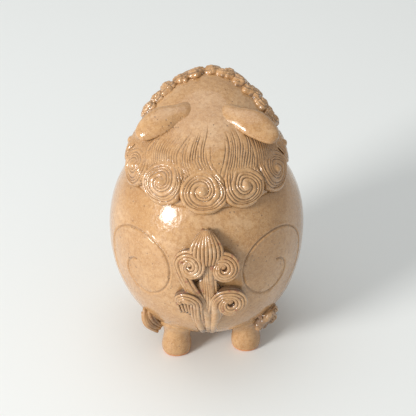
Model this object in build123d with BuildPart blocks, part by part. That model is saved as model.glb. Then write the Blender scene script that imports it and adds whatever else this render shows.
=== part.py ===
from build123d import *
import os
from math import asin, cos, radians, sin, sqrt

# A lidded lion-dog censer in glazed stoneware: a thrown globular pot on four stub legs,
# and a hollow head that lifts off as its cover. Locks, tufts, ears and face pieces are
# worked by hand and luted on, each one a solid that meets its neighbour face to face.
#
# Millimetres. The origin is on the floor under the pot's axis, +Z is up, the animal
# faces -Y and its left side is +X. Bearings are measured from the tail (+Y) towards +X.

# ---- Pot ----
belly_width = 120.0        # greatest diameter
belly_height = 79.0        # level of that diameter
shoulder_rise = 63.0       # from the belly to where the shoulder curve would close
shoulder_steps = 4
base_height = 14.0         # underside above the floor
base_width = 36.0          # flat part of the underside
flank_drop = 38.0          # how far the flank stays upright below the belly
flank_knee = 46.0          # radius at which it turns under
seat_height = 119.0        # level of the rim that carries the cover
pot_wall = 5.0
pot_floor = 6.0

# ---- Legs ----
leg_radius = 35.3          # from the pot's axis to a leg's axis
leg_bearing = 38.5         # each side of the tail, and of the chest
leg_turn = 6.3             # the four legs sit turned a little on the pot
leg_height = 30.0          # to the hidden top, which the pot cuts off
sole_width = 16.6
foot_width = 18.8
ankle_width = 16.4
thigh_width = 22.0
sole_bevel = 1.2

# ---- Tufts at the hocks ----
tuft_width = 11.0
tuft_top = (39.5, 34.5, 38.0)
tuft_low = (29.5, 33.5, 18.5)

# ---- Tail ----
tail_relief = 9.6          # how far it stands off the pot
tail_low = 31.0
tail_gap = 7.5             # from the flame's tip up to the seat
root_width = 15.0
stem_width = 8.0
flame_width = 17.0         # the flame's control width, a little over its real width
flame_height = 20.0
upper_coil_radius = 7.4
upper_coil_drop = 23.0     # below the flame's tip
lower_coil_radius = 9.0
lower_coil_drop = 49.0

# ---- Head ----
head_rise = 45.0           # from the seat to the crown
head_lean = 29.0           # how far the crown lies in front of the pot's axis
head_wall = 5.0
head_steps = 8
crown_share = 0.985        # the last section, as a share of the rise
cover_turn = -5.0          # the cover sits turned a little on the pot
flange_height = 6.0
flange_wall = 2.5
flange_clearance = 1.0     # between the flange and the pot's mouth
ledge_height = 4.0

# ---- Mane ----
mane_count = 9
mane_pitch = 33.5          # degrees from one lock to the next
mane_offset = -2.0         # bearing of the middle lock, in the cover's own axes
mane_radius = 13.2
mane_level = 10.5          # the locks' middles above the seat
mane_relief = 3.8
mane_clearance = 0.9       # between hanging locks and the pot's shoulder
lock_gap = 0.3             # degrees between one lock's sector and the next
lock_depth = 9.0           # blank thickness before the head and pot are cut away
lock_round = 1.6
lock_eye = 3.2

# ---- Beard ----
beard_pitch = 22.0
beard_radius = 9.4
beard_level = -5.5         # the beard's middles, below the seat
beard_relief = 4.2

# ---- Ruff ----
ruff_count = 11
ruff_reach = 36.0          # half the ruff's spread across the head
ruff_front = 36.0          # how far in front of the axis its middle lies
ruff_sweep = 21.5          # how far its ends lie behind the middle
ruff_arc = 65.0            # degrees over which the row bends back at each side
ruff_radius = 4.1
ruff_lift = 1.2            # the shells' centres above the head's surface

# ---- Ears ----
ear_root = (11.0, 2.0)     # in plan, each side of the middle line
ear_sink = 2.00            # the root's middle below the head's surface
ear_hang = {"left": (29.0, 10.0, -8.3), "right": (-31.5, 11.0, -8.3)}   # from root to tip
ear_width = 15.5
ear_thickness = 8.0
ear_sections = [(0.0, 0.80, 1.0), (0.35, 1.0, 1.0), (0.7, 0.88, 0.85), (0.9, 0.6, 0.6),
                (0.98, 0.3, 0.35)]   # share of the length, width and thickness

# ---- Face ----
face_reach = 69.5          # from the pot's axis to the tip of the nose
muzzle_width = 34.0
muzzle_height = 13.0
muzzle_round = 4.0
mouth_level = 6.5          # the lower jaw's top above the seat
mouth_gap = 8.5
jaw_width = 27.0
jaw_reach = 61.0
jaw_thickness = 6.0
tongue_width = 12.0
tongue_thickness = 2.0
nose_radius = 5.0
nose_width = 19.0
nostril_radius = 1.7
eye_radius = 5.8
eye_spread = 13.5
eye_share = 0.678          # the eyes' level, as a share of the head's rise
pupil_radius = 1.3
brow_radius = 3.0
brow_inner = (5.5, 0.833)  # from the middle line, and level as a share of the rise
brow_outer = (22.0, 0.756)
cheek_radius = 4.6
cheek_share = 0.656
cheek_bearing = 38.0       # each side of the nose
vent_width = 13.0
vent_height = 6.4
fang_length = 5.6
fang_radius = 1.9
fang_spread = 11.0


def pot_radius(height):
    """Outside radius of the pot's shoulder at a level above the belly."""
    share = (height - belly_height) / shoulder_rise
    return belly_width / 2 * sqrt(1 - share ** 2)


seat_radius = pot_radius(seat_height)
mouth_radius = (belly_width / 2 - pot_wall) * sqrt(
    1 - ((seat_height - belly_height) / (shoulder_rise - pot_wall)) ** 2)
flange_radius = mouth_radius - flange_clearance
mane_height = seat_height + mane_level
beard_height = seat_height + beard_level
mouth_low = seat_height + mouth_level
eye_height = seat_height + head_rise * eye_share
cheek_height = seat_height + head_rise * cheek_share
tail_high = seat_height - tail_gap
cover = Plane.XY.rotated((0, 0, cover_turn))
head_middle = Vector(0, -head_lean / 3, seat_height)


def pot_form(grow, low):
    """The pot's outside as a plain solid, moved out by grow, with its underside at low."""
    radius, rise = belly_width / 2 + grow, shoulder_rise + grow
    seat_angle = asin((seat_height - belly_height) / rise)
    angles = [seat_angle * step / shoulder_steps for step in range(shoulder_steps + 1)]
    with BuildPart() as form:
        with BuildSketch(Plane.XZ):
            with BuildLine():
                flank = Bezier((radius, belly_height), (radius, belly_height - flank_drop),
                               (flank_knee + grow, low), (base_width / 2, low))
                shoulder = Spline([(radius * cos(a), belly_height + rise * sin(a)) for a in angles],
                                  tangents=[(0, 1), (-radius * sin(seat_angle),
                                                     rise * cos(seat_angle))])
                Polyline(flank @ 1, (0, low), (0, seat_height), shoulder @ 1)
            make_face()
        revolve(axis=Axis.Z)
    return form.part


def head_form(shrink):
    """The head's outside as a plain solid on the seat, moved in by shrink."""
    with BuildPart() as form:
        for step in range(head_steps):
            share = crown_share * sin(radians(90 * step / (head_steps - 1)))
            with BuildSketch(cover.offset(seat_height + (head_rise - shrink) * share)):
                with Locations((0, -head_lean * share ** 2)):
                    Circle((seat_radius - shrink) * sqrt(1 - share ** 2))
        loft()
    return form.part


def head_level(x, y):
    """Level of the head's surface over a point of the cover's own plan."""
    a = head_lean ** 2
    b = 2 * y * head_lean + seat_radius ** 2
    c = x ** 2 + y ** 2 - seat_radius ** 2
    return seat_height + head_rise * sqrt((sqrt(b ** 2 - 4 * a * c) - b) / (2 * a))


def head_front(x, height):
    """Where the front of the head stands at a distance from its middle line, at a level."""
    share = (height - seat_height) / head_rise
    return -head_lean * share ** 2 - sqrt(seat_radius ** 2 * (1 - share ** 2) - x ** 2)


def head_distance(bearing, height):
    """Distance from the axis to the head's surface on a bearing, at a level."""
    share = (height - seat_height) / head_rise
    radius, shift = seat_radius * sqrt(1 - share ** 2), head_lean * share ** 2
    along, across = shift * cos(radians(bearing)), shift * sin(radians(bearing))
    return sqrt(radius ** 2 - across ** 2) - along


def on_cover(origin, facing, upward=(0, 0, 1)):
    """A plane in the cover's own axes, at origin and looking along facing."""
    across = Vector(*upward).cross(Vector(*facing))
    local = Plane(origin=origin, x_dir=across, z_dir=facing)
    return Plane(cover.location * local.location)


def lock_plane(bearing, height, radius, relief):
    """The face of a lock that lies on the head above and hangs over the pot below."""
    low, high = height - radius, height + radius
    near = head_distance(bearing, high)
    far = pot_radius(low) + mane_clearance
    out = Vector(sin(radians(bearing)), cos(radians(bearing)), 0)
    facing = out * (high - low) + Vector(0, 0, far - near)
    middle = out * ((near + far) / 2) + Vector(0, 0, height)
    return on_cover(middle + facing.normalized() * relief, facing)


def save(piece, name):
    """Label a finished piece and write it."""
    piece.label = name
    export_step(piece, f"parts/{name}.step")


os.makedirs("parts", exist_ok=True)
pot_solid = pot_form(0, base_height)
pot_clear = pot_form(mane_clearance, base_height - mane_clearance)
tail_skin = pot_form(tail_relief, base_height - tail_relief)
head_solid = head_form(0)

# ---- The pot: a hollow thrown bowl with a flat rim ----
with BuildPart() as bowl:
    add(pot_solid)
    add(pot_form(-pot_wall, base_height + pot_floor), mode=Mode.SUBTRACT)
save(bowl.part, "bowl")

# ---- Four turned legs, cut to the pot's underside ----
legs = {"rear_left": leg_bearing, "rear_right": -leg_bearing,
        "front_left": 180 - leg_bearing, "front_right": leg_bearing - 180}
leg_parts = {}
for place, bearing in legs.items():
    angle = radians(bearing - leg_turn)
    stand = Plane(origin=(leg_radius * sin(angle), leg_radius * cos(angle), 0),
                  x_dir=(1, 0, 0), z_dir=(0, -1, 0))
    with BuildPart() as leg:
        with BuildSketch(stand):
            with BuildLine():
                sole = Line((0, 0), (sole_width / 2, 0))
                bevel = Line(sole @ 1, (foot_width / 2 - 0.3, sole_bevel))
                side = Spline(bevel @ 1, (foot_width / 2, 5), (ankle_width / 2, 14),
                              (thigh_width / 2, leg_height))
                Polyline(side @ 1, (0, leg_height), (0, 0))
            make_face()
        revolve(axis=Axis(stand.origin, (0, 0, 1)))
        add(pot_solid, mode=Mode.SUBTRACT)
    leg_parts[place] = leg.part
    save(leg.part, f"leg_{place}")

# ---- Tufts of hair from the flank down to each hock ----
for place, leg_part in leg_parts.items():
    side = 1 if "left" in place else -1
    end = 1 if "rear" in place else -1
    top = Vector(side * tuft_top[0], end * tuft_top[1], tuft_top[2])
    low = Vector(side * tuft_low[0], end * tuft_low[1], tuft_low[2])
    length = (top - low).length
    radius = tuft_width / 2
    with BuildPart() as tuft:
        with Locations(Plane(origin=low, z_dir=top - low)):
            Cylinder(radius, length, align=(Align.CENTER, Align.CENTER, Align.MIN))
        with Locations(low, top):
            Sphere(radius)
        add(pot_solid, mode=Mode.SUBTRACT)
        add(leg_part, mode=Mode.SUBTRACT)
    save(tuft.part, f"tuft_{place}")

# ---- Tail: a stem that ends in a flame, with two pairs of coils ----
tail_back = Plane(origin=(0, 0, 0), x_dir=(-1, 0, 0), z_dir=(0, 1, 0))
skin_depth = belly_width
flame_low = tail_high - flame_height
with BuildPart() as tail_plume:
    with BuildSketch(tail_back):
        with BuildLine():
            edge = Polyline((0, tail_low), (root_width / 2, tail_low))
            stem = Bezier(edge @ 1, (stem_width / 2, tail_low + root_width / 2),
                          (stem_width / 2, flame_low - root_width / 2), (stem_width / 2, flame_low))
            flame = Bezier(stem @ 1, (flame_width * 0.7, flame_low + flame_height * 0.3),
                           (flame_width * 0.3, flame_low + flame_height * 0.7), (0, tail_high))
            mirror((edge, stem, flame), about=Plane.YZ)
        make_face()
    extrude(amount=skin_depth)
    add(tail_skin, mode=Mode.INTERSECT)
    add(pot_solid, mode=Mode.SUBTRACT)
save(tail_plume.part, "tail_plume")

coils = {
    "tail_coil_upper_left": (-9.2, upper_coil_drop, upper_coil_radius),
    "tail_coil_upper_right": (9.2, upper_coil_drop, upper_coil_radius),
    "tail_coil_lower_left": (-12.0, lower_coil_drop, lower_coil_radius),
    "tail_coil_lower_right": (12.0, lower_coil_drop, lower_coil_radius),
}
for name, (across, drop, radius) in coils.items():
    with BuildPart() as coil:
        with BuildSketch(tail_back):
            with Locations((across, tail_high - drop)):
                Circle(radius)
        extrude(amount=skin_depth)
        add(tail_skin, mode=Mode.INTERSECT)
        add(pot_solid, mode=Mode.SUBTRACT)
        add(tail_plume.part, mode=Mode.SUBTRACT)
    save(coil.part, name)

# ---- Cover: the hollow head, its ledge and the flange that drops into the pot ----
with BuildPart() as head_shell:
    add(head_solid)
    add(head_form(head_wall), mode=Mode.SUBTRACT)
    with BuildSketch(cover.offset(seat_height)):
        Circle(seat_radius - head_wall / 2)
        Circle(flange_radius - flange_wall, mode=Mode.SUBTRACT)
    extrude(amount=ledge_height)
    with BuildSketch(cover.offset(seat_height - flange_height)):
        Circle(flange_radius)
        Circle(flange_radius - flange_wall, mode=Mode.SUBTRACT)
    extrude(amount=flange_height)
    with BuildSketch(on_cover((0, -head_rise / 2, 0), (0, -1, 0))):
        with Locations((0, mouth_low + mouth_gap / 2 + tongue_thickness / 2)):
            RectangleRounded(vent_width, vent_height, vent_height / 3)
    extrude(amount=head_rise, mode=Mode.SUBTRACT)
save(head_shell.part, "head_shell")

# ---- Face: jaws, tongue and fangs round the mouth that vents the smoke ----
mouth_high = mouth_low + mouth_gap
with BuildPart() as lower_jaw:
    with BuildSketch(cover.offset(mouth_low - jaw_thickness)):
        with Locations((0, -jaw_reach / 2)):
            RectangleRounded(jaw_width, jaw_reach, jaw_width / 3)
    extrude(amount=jaw_thickness)
    fillet(lower_jaw.faces().sort_by(Axis.Z)[0].edges(), jaw_thickness / 3)
    add(head_solid, mode=Mode.SUBTRACT)
save(lower_jaw.part, "lower_jaw")

with BuildPart() as muzzle:
    for reach, width, height in ((30, muzzle_width + 6, muzzle_height + 4),
                                 (face_reach - nose_radius, muzzle_width - 5, muzzle_height)):
        with BuildSketch(on_cover((0, -reach, 0), (0, -1, 0))):
            with Locations((0, mouth_high + height / 2)):
                RectangleRounded(width, height, muzzle_round)
    loft()
    fillet(muzzle.faces().sort_by(Axis.Y)[0].edges(), muzzle_round * 0.6)
    add(head_solid, mode=Mode.SUBTRACT)
save(muzzle.part, "muzzle")

with BuildPart() as tongue:
    with BuildSketch(cover.offset(mouth_low)):
        with Locations((0, -jaw_reach / 2)):
            RectangleRounded(tongue_width, jaw_reach - 5, tongue_width / 2.5)
    extrude(amount=tongue_thickness)
    add(head_solid, mode=Mode.SUBTRACT)
save(tongue.part, "tongue")

upper_fang_y, lower_fang_y = -(face_reach - nose_radius - 5.0), -(jaw_reach - 5.5)
with BuildPart() as fangs:
    for side in (-1, 1):
        with BuildSketch(cover.offset(mouth_high)):
            with Locations((side * fang_spread, upper_fang_y)):
                Circle(fang_radius)
        extrude(amount=-fang_length, taper=14)
        with BuildSketch(cover.offset(mouth_low)):
            with Locations((side * (fang_spread - 2.2), lower_fang_y)):
                Circle(fang_radius * 0.85)
        extrude(amount=fang_length * 0.8, taper=14)
    add(head_solid, mode=Mode.SUBTRACT)
save(fangs.part, "fangs")

nose_level = mouth_high + muzzle_height
with BuildPart() as nose:
    with BuildSketch(on_cover((0, -(face_reach - nose_radius), nose_level), (0, -1, 0))):
        SlotOverall(nose_width, 2 * nose_radius)
    extrude(amount=nose_radius, both=True)
    fillet(nose.faces().sort_by(Axis.Y)[0].edges(), nose_radius * 0.5)
    with BuildSketch(on_cover((0, -face_reach, nose_level), (0, -1, 0))):
        with Locations((-nose_width / 4, 0), (nose_width / 4, 0)):
            Circle(nostril_radius)
    extrude(amount=-3, mode=Mode.SUBTRACT)
    add(muzzle.part, mode=Mode.SUBTRACT)
save(nose.part, "nose")

side_pieces = []   # what the mane's locks and the ruff are cut back from
for name, side in (("left", 1), ("right", -1)):
    socket = on_cover((side * eye_spread, head_front(eye_spread, eye_height), eye_height),
                      (0, -1, 0))
    with BuildPart() as eye:
        with Locations(socket):
            Sphere(eye_radius)
        with BuildSketch(socket.offset(eye_radius)):
            Circle(pupil_radius)
        extrude(amount=-2.5, mode=Mode.SUBTRACT)
        add(head_solid, mode=Mode.SUBTRACT)
        add(muzzle.part, mode=Mode.SUBTRACT)
    save(eye.part, f"eye_{name}")

    inner, outer = (Vector(side * x, head_front(x, z), z) for x, z in (
        (away, seat_height + head_rise * share) for away, share in (brow_inner, brow_outer)))
    ridge = on_cover(inner, outer - inner)
    with BuildPart() as brow:
        with Locations(ridge):
            Cylinder(brow_radius, (outer - inner).length,
                     align=(Align.CENTER, Align.CENTER, Align.MIN))
            Sphere(brow_radius)
        with Locations(ridge.offset((outer - inner).length)):
            Sphere(brow_radius)
        add(head_solid, mode=Mode.SUBTRACT)
        add(eye.part, mode=Mode.SUBTRACT)
        add(muzzle.part, mode=Mode.SUBTRACT)
    save(brow.part, f"brow_{name}")

    cheek_angle = radians(180 - side * cheek_bearing)
    cheek_out = head_distance(180 - side * cheek_bearing, cheek_height)
    with BuildPart() as cheek:
        with Locations(on_cover((cheek_out * sin(cheek_angle), cheek_out * cos(cheek_angle),
                                 cheek_height), (0, -1, 0))):
            Sphere(cheek_radius)
        add(head_solid, mode=Mode.SUBTRACT)
        add(muzzle.part, mode=Mode.SUBTRACT)
        add(brow.part, mode=Mode.SUBTRACT)
    side_pieces.append(cheek.part)
    save(cheek.part, f"cheek_curl_{name}")

# ---- Ears: long leaves, rooted on the head and hanging outward ----
for name, hang in ear_hang.items():
    side = 1 if name == "left" else -1
    root = Vector(side * ear_root[0], ear_root[1], head_level(*ear_root) - ear_sink)
    along = Vector(*hang)
    with BuildPart() as ear:
        for share, width, thickness in ear_sections:
            with BuildSketch(on_cover(root + along * share, along, upward=(0, -0.5, 1))):
                Ellipse(ear_width / 2 * width, ear_thickness / 2 * thickness)
        loft()
        add(head_solid, mode=Mode.SUBTRACT)
    side_pieces.append(ear.part)
    save(ear.part, f"ear_{name}")

# ---- Mane and beard: coiled locks round the lower edge of the cover ----
locks = {}
lock_parts = []
for index in range(mane_count):
    bearing = mane_offset + mane_pitch * ((mane_count - 1) / 2 - index)
    locks[f"mane_curl_{index + 1}"] = (bearing, mane_pitch, mane_height, mane_radius, mane_relief)
for name, place in (("left", -1), ("middle", 0), ("right", 1)):
    locks[f"beard_curl_{name}"] = (180 + place * beard_pitch, beard_pitch, beard_height,
                                   beard_radius, beard_relief)
for name, (bearing, pitch, height, radius, relief) in locks.items():
    face = lock_plane(bearing, height, radius, relief)
    sides = [radians(bearing + turn * (pitch - lock_gap) / 2) for turn in (-1, 1)]
    with BuildPart() as lock:
        with BuildSketch(face):
            Circle(radius)
        extrude(amount=-lock_depth)
        fillet(lock.edges().sort_by(Axis(face.origin, face.z_dir))[-1], lock_round)
        with Locations(face):
            Sphere(lock_eye)
        with BuildSketch(cover.offset(belly_height)):
            Polygon((0, 0), *[(belly_width * sin(a), belly_width * cos(a)) for a in sides],
                    align=None)
        extrude(amount=belly_width, mode=Mode.INTERSECT)
        add(head_solid, mode=Mode.SUBTRACT)
        add(pot_clear, mode=Mode.SUBTRACT)
        for piece in [lower_jaw.part] + side_pieces:
            add(piece, mode=Mode.SUBTRACT)
    lock_parts.append(lock.part)
    save(lock.part, name)

# ---- Ruff: a row of small shells of hair over the forehead, from ear to ear ----
beside = side_pieces + lock_parts[:mane_count]
for index in range(ruff_count):
    share = 1 - 2 * index / (ruff_count - 1)
    x = ruff_reach * sin(radians(ruff_arc * share)) / sin(radians(ruff_arc))
    y = ruff_sweep * abs(x / ruff_reach) ** 1.5 - ruff_front
    skin = Vector(x, y, head_level(x, y))
    outward = (skin - head_middle).normalized()
    with BuildPart() as shell:
        with Locations(on_cover(skin + outward * ruff_lift, outward)):
            Sphere(ruff_radius)
        add(head_solid, mode=Mode.SUBTRACT)
        for piece in beside:
            if piece.distance_to(skin) < 3 * ruff_radius:
                add(piece, mode=Mode.SUBTRACT)
    beside.append(shell.part)
    save(shell.part, f"ruff_curl_{index + 1:02d}")
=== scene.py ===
"""A glazed stoneware lion-dog censer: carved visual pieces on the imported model."""

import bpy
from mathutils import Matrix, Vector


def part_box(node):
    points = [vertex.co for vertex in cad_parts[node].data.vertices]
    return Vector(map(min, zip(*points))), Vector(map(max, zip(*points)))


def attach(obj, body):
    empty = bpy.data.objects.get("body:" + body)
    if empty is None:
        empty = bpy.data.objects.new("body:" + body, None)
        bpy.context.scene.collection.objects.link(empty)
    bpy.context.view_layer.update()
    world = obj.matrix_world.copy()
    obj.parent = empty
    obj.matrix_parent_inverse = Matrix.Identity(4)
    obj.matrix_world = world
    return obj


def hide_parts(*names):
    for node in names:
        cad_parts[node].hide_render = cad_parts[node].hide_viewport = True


bl_info = {
    "name": "Lion-dog censer",
    "version": (1, 0, 0),
    "blender": (4, 5, 0),
    "location": "View3D > Sidebar > Censer",
    "description": "Builds the carved and glazed pieces of a lidded lion-dog censer",
    "category": "Object",
}

from math import asin, atan2, cos, exp, hypot, pi, radians, sin, sqrt

import bmesh
import bpy
from mathutils import Matrix, Vector, noise
from bpy.props import FloatProperty, FloatVectorProperty, IntProperty, PointerProperty

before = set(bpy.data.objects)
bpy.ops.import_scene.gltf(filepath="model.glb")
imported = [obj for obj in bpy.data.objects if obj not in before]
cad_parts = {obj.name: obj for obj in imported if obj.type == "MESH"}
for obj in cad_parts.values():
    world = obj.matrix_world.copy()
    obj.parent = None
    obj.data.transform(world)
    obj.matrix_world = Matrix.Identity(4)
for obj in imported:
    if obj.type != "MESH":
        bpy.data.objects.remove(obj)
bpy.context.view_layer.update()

MM = 0.001
POT, COVER = "censer_body", "head_cover"
SIDES = {"left": 1, "right": -1}
GLAZES = {"pot_glaze": "Pot glaze", "head_glaze": "Head glaze", "lock_glaze": "Carved glaze",
          "tail_glaze": "Tail glaze", "leg_glaze": "Leg glaze", "face_glaze": "Face glaze"}


# ---------------------------------------------------------------- sizes and colours

def length(name, default, description):
    """A length in millimetres."""
    return FloatProperty(name=name, default=default, description=description, min=0.0)


class CENSER_PG_pot(bpy.types.PropertyGroup):
    """Sizes of the thrown pot, in millimetres."""
    belly: length("Belly radius", 60.0, "Greatest radius of the pot")
    belly_height: length("Belly height", 79.0, "Level of the greatest radius")
    rise: length("Shoulder rise", 63.0, "From the belly to where the shoulder would close")
    base: length("Base height", 14.0, "Underside above the floor")
    base_radius: length("Base radius", 18.0, "Flat part of the underside")
    flank_drop: length("Flank drop", 38.0, "How far the flank stays upright")
    flank_knee: length("Flank knee", 46.0, "Radius at which the flank turns under")
    wall: length("Wall", 5.0, "Wall of the pot")
    floor: length("Floor", 6.0, "Thickness of the bottom")
    seat: length("Seat height", 119.0, "Level of the rim under the cover")
    haunch_groove: length("Haunch groove", 0.75, "Depth of the incised haunch spirals")
    haunch_width: length("Haunch groove width", 0.68, "Half width of the incised line")


class CENSER_PG_head(bpy.types.PropertyGroup):
    """Sizes of the cover, in millimetres and degrees."""
    rise: length("Head rise", 45.0, "From the seat to the crown")
    lean: length("Head lean", 29.0, "How far the crown lies in front of the axis")
    wall: length("Head wall", 5.0, "Wall of the hollow head")
    turn: FloatProperty(name="Cover turn", default=-5.0, description="Degrees on the pot")
    flange_radius: length("Flange radius", 38.83, "Outside of the locating flange")
    flange_wall: length("Flange wall", 2.5, "Thickness of the locating flange")
    flange_height: length("Flange height", 6.0, "Depth of the locating flange")
    ledge: length("Ledge", 4.0, "Thickness of the ledge above the flange")
    clearance: length("Clearance", 0.9, "Between the hanging locks and the pot")
    mane_count: IntProperty(name="Locks", default=9, description="Coiled locks of the mane")
    mane_pitch: FloatProperty(name="Lock pitch", default=33.5, description="Degrees apart")
    mane_offset: FloatProperty(name="Lock offset", default=-2.0, description="Middle lock")
    mane_height: length("Lock height", 130.0, "Level of the locks' eyes")
    lock_radius: length("Lock radius", 15.4, "Radius of a lock where its strands come in")
    lock_gain: length("Lock gain", 6.3, "How much the coil closes in one turn")
    lock_relief: length("Lock relief", 3.4, "How far a lock stands out at its foot")
    groove: length("Groove depth", 1.25, "Depth of the cut hair grooves")
    strand: length("Strand width", 1.95, "Pitch of the hair grooves on the crown")


class CENSER_PG_colours(bpy.types.PropertyGroup):
    """Glaze and clay colours, with the pooled glaze and painted shade of the cuts, and the floor."""
    def colour(name, value):
        """A colour that the panel can change."""
        return FloatVectorProperty(name=name, subtype="COLOR", size=3, default=value,
                                   min=0.0, max=1.0, description=name)
    glaze: colour("Buff glaze", (0.53, 0.305, 0.134))
    glaze_warm: colour("Warm glaze", (0.36, 0.175, 0.062))
    glaze_milk: colour("Milky glaze", (0.62, 0.42, 0.25))
    # Pooled glaze is darker where the glaze lies thick in cuts and also carries painted shade; the
    # crevice colour is painted shade in the deepest cuts.
    pool: colour("Pooled glaze and painted shade", (0.20, 0.115, 0.062))
    painted_crevice_shade: colour("Painted crevice shade", (0.10, 0.05, 0.025))
    fleck: colour("Iron fleck", (0.13, 0.07, 0.04))
    rust: colour("Rust fleck", (0.22, 0.035, 0.02))
    clay: colour("Bare clay", (0.62, 0.26, 0.10))
    floor: colour("Floor", (0.81, 0.83, 0.825))


class CENSER_PG_stage(bpy.types.PropertyGroup):
    """Camera and light."""
    elevation: FloatProperty(name="Elevation", default=35.0, description="Degrees")
    distance: FloatProperty(name="Distance", default=0.85, description="Metres")
    lens: FloatProperty(name="Lens", default=119.0, description="Millimetres")
    key: FloatProperty(name="Key light", default=49.0, description="Watts")
    fill: FloatProperty(name="Fill light", default=5.0, description="Watts")
    sky: FloatProperty(name="Sky", default=0.51, description="Background strength")


def pot_sizes():
    """The pot's sizes as set in the panel."""
    return bpy.context.scene.censer_pot


def head_sizes():
    """The cover's sizes as set in the panel."""
    return bpy.context.scene.censer_head


def colours():
    """The glaze and clay colours as set in the panel."""
    return bpy.context.scene.censer_colours


# ---------------------------------------------------------------- shared shapes

def smooth(low, high, value):
    """0 below low, 1 above high, and a smooth step between."""
    t = min(max((value - low) / (high - low), 0.0), 1.0)
    return t * t * (3 - 2 * t)


def turned(rows, steps):
    """A disc of rows by steps: row k has radius k, so a shaping loop can read both."""
    bm = bmesh.new()
    line = [bm.verts.new((k, 0, 0)) for k in range(rows)]
    edges = [bm.edges.new(pair) for pair in zip(line, line[1:])]
    bmesh.ops.spin(bm, geom=line + edges, axis=(0, 0, 1), cent=(0, 0, 0), angle=2 * pi,
                   steps=steps, use_merge=True, use_duplicate=False)
    bmesh.ops.remove_doubles(bm, verts=bm.verts, dist=1e-4)
    return bm


def wobble(point, size, amount):
    """Hand-made unevenness: smooth noise of a size in millimetres."""
    return noise.noise(Vector(point) / size) * amount


def finish_piece(bm, name, body, nodes, slot):
    """Close a mesh worked in millimetres and put it on its body, turned with the cover."""
    turn = radians(head_sizes().turn) if body == COVER else 0.0
    bmesh.ops.remove_doubles(bm, verts=bm.verts, dist=2e-3)
    bmesh.ops.recalc_face_normals(bm, faces=bm.faces)
    bmesh.ops.rotate(bm, verts=bm.verts, cent=(0, 0, 0), matrix=Matrix.Rotation(turn, 3, "Z"))
    bmesh.ops.scale(bm, verts=bm.verts, vec=(MM, MM, MM))
    mesh = bpy.data.meshes.new(name)
    bm.to_mesh(mesh)
    bm.free()
    mesh.shade_smooth()
    piece = bpy.data.objects.new(name, mesh)
    bpy.context.scene.collection.objects.link(piece)
    mesh.materials.append(bpy.data.materials[GLAZES[slot]])
    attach(piece, body)
    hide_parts(*nodes)


def pool_and_shade_layer(bm):
    """The vertex mask for pooled glaze and painted shade: how deep a point lies in a cut or in
    shade, 0 open, 1 deep.
    """
    return bm.verts.layers.float.get("pool_and_shade_mask") or bm.verts.layers.float.new("pool_and_shade_mask")


def join_tubes(bm, splines, roundness=4):
    """Add rounded strands to a mesh. Each spline is a list of (point, radius)."""
    curve = bpy.data.curves.new("strands", "CURVE")
    curve.dimensions = "3D"
    curve.bevel_depth = 1.0
    curve.bevel_resolution = roundness
    curve.use_fill_caps = True
    curve.resolution_u = 3
    for points in splines:
        spline = curve.splines.new("NURBS")
        spline.points.add(len(points) - 1)
        for target, (point, radius) in zip(spline.points, points):
            target.co = (*point, 1.0)
            target.radius = radius
        spline.order_u = 3
        spline.use_endpoint_u = True
    holder = bpy.data.objects.new("strands", curve)
    bpy.context.scene.collection.objects.link(holder)
    mesh = bpy.data.meshes.new_from_object(holder.evaluated_get(
        bpy.context.evaluated_depsgraph_get()))
    bm.from_mesh(mesh)
    bpy.data.objects.remove(holder)
    bpy.data.curves.remove(curve)
    bpy.data.meshes.remove(mesh)


# ---------------------------------------------------------------- the pot's surface

def bezier(points, t):
    """A point on a cubic curve in the plane."""
    weights = ((1 - t) ** 3, 3 * (1 - t) ** 2 * t, 3 * (1 - t) * t * t, t ** 3)
    return (sum(w * p[0] for w, p in zip(weights, points)),
            sum(w * p[1] for w, p in zip(weights, points)))


def flank_curve(grow, low):
    """The pot's lower outline, as control points."""
    p = pot_sizes()
    return [(p.belly + grow, p.belly_height), (p.belly + grow, p.belly_height - p.flank_drop),
            (p.flank_knee + grow, low), (p.base_radius, low)]


def flank_point(known, value):
    """Where the flank's outline reaches a radius (known is 0) or a level (known is 1)."""
    points = flank_curve(0, pot_sizes().base)
    low, high = 0.0, 1.0
    for _ in range(22):
        middle = (low + high) / 2
        if bezier(points, middle)[known] > value:
            low = middle
        else:
            high = middle
    return bezier(points, low)


def pot_outside(height):
    """Outside radius of the pot at a level."""
    p = pot_sizes()
    if height >= p.belly_height:
        return p.belly * sqrt(max(0.0, 1 - ((height - p.belly_height) / p.rise) ** 2))
    return flank_point(1, height)[0]


def pot_underside(radius):
    """Level of the pot's outside below the belly, at a radius."""
    return flank_point(0, radius)[1]


def pot_slope(height):
    """Outward and upward parts of the pot's normal at a level."""
    rise = pot_outside(height + 0.5) - pot_outside(height - 0.5)
    size = hypot(1.0, rise)
    return 1.0 / size, -rise / size


def on_pot(bearing, height, out=0.0):
    """A point of the pot's surface by bearing from the tail and level, moved out."""
    across, up = pot_slope(height)
    radius = pot_outside(height) + out * across
    return Vector((radius * sin(bearing), radius * cos(bearing), height + out * up))


HAUNCH_ACROSS, HAUNCH_LEVEL = 44.0, 77.5
HAUNCH_TURNS, HAUNCH_STEPS = 1.42, 220
HAUNCH_LOW, HAUNCH_HIGH, HAUNCH_REACH = 44, 110, 40


def haunch_point(t, side):
    """The incised haunch spiral: t in turns from its hook, as distance round and up."""
    angle = radians(70) - t * 2 * pi
    radius = 3.6 + 15.0 * smooth(0.0, 0.52, t) + 13.5 * max(0.0, t - 0.42)
    radius -= 3.2 * smooth(0.75, 0.95, t) * (1 - smooth(0.95, 1.2, t))
    return (side * (HAUNCH_ACROSS + radius * cos(angle) * 0.98),
            HAUNCH_LEVEL + radius * sin(angle))


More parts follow.
